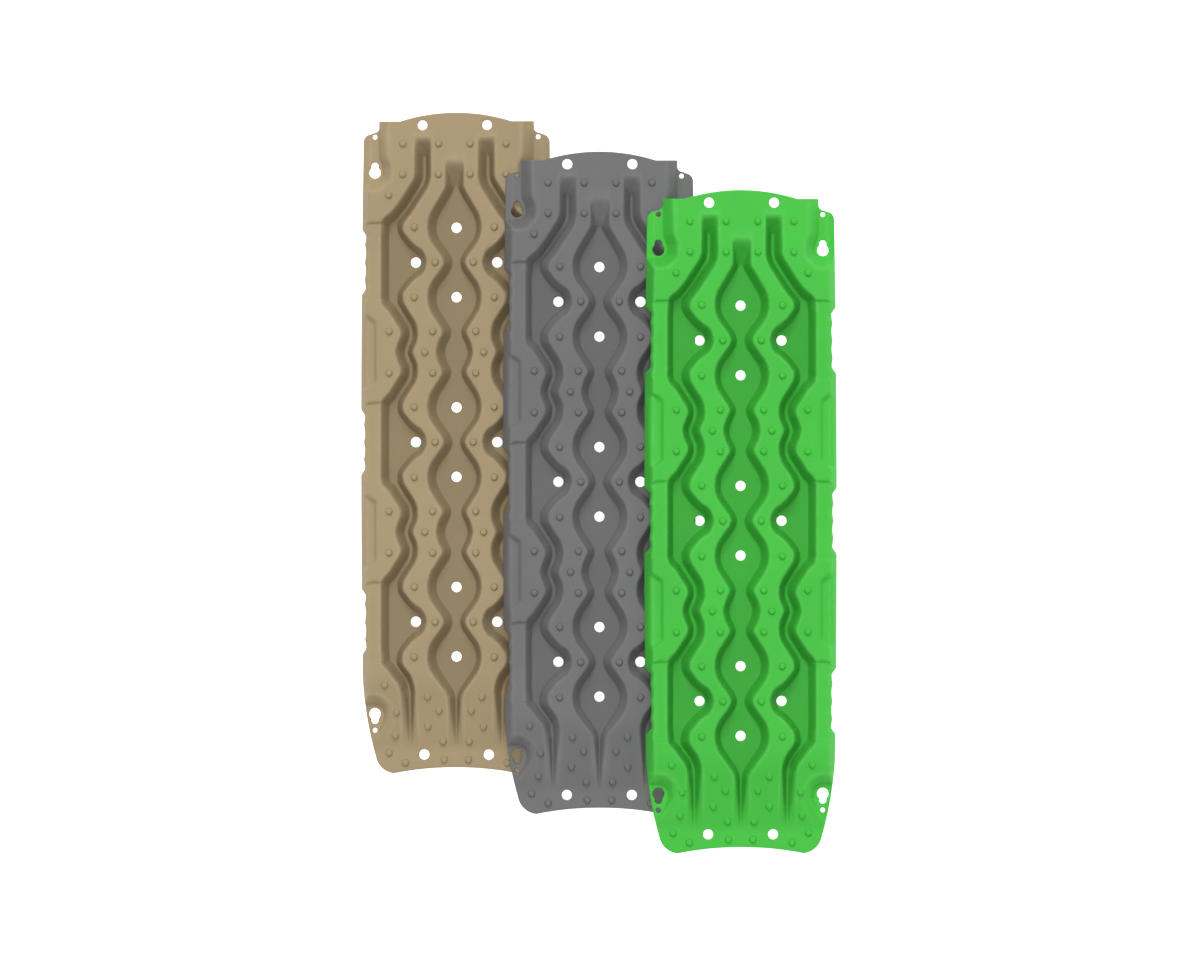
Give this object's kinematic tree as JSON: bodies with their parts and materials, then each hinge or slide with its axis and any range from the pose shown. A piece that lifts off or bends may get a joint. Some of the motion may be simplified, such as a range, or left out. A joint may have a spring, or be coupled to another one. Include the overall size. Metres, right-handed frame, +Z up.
{
  "type": "set of vehicle traction boards",
  "caption": "Moulded traction boards with zigzag channels, gripping studs, finger grips and keyholes, fanned so each leans on the next.",
  "frame": {"origin": "on the ground under the middle of the sand board, midway between its sides at its middle row of holes", "axes": "+X across the boards from sand to green, +Y along them to the arched ends, +Z up"},
  "size_m": [0.7842, 1.2139, 0.0835],
  "materials": {
    "sand_plastic": "matte, fine moulded grain",
    "grey_plastic": "matte, fine moulded grain",
    "green_plastic": "matte, fine moulded grain"
  },
  "bodies": {
    "sand_board": {"board_sand": "sand_plastic"},
    "grey_board": {"board_grey": "grey_plastic"},
    "green_board": {"board_green": "green_plastic"}
  },
  "joints": [
    {"name": "grey_lift", "type": "slide", "parent": "sand_board", "child": "grey_board", "axis": [0, 0, 1], "range_m": [0, 0.15]},
    {"name": "green_lift", "type": "slide", "parent": "grey_board", "child": "green_board", "axis": [0, 0, 1], "range_m": [0, 0.15]}
  ]
}
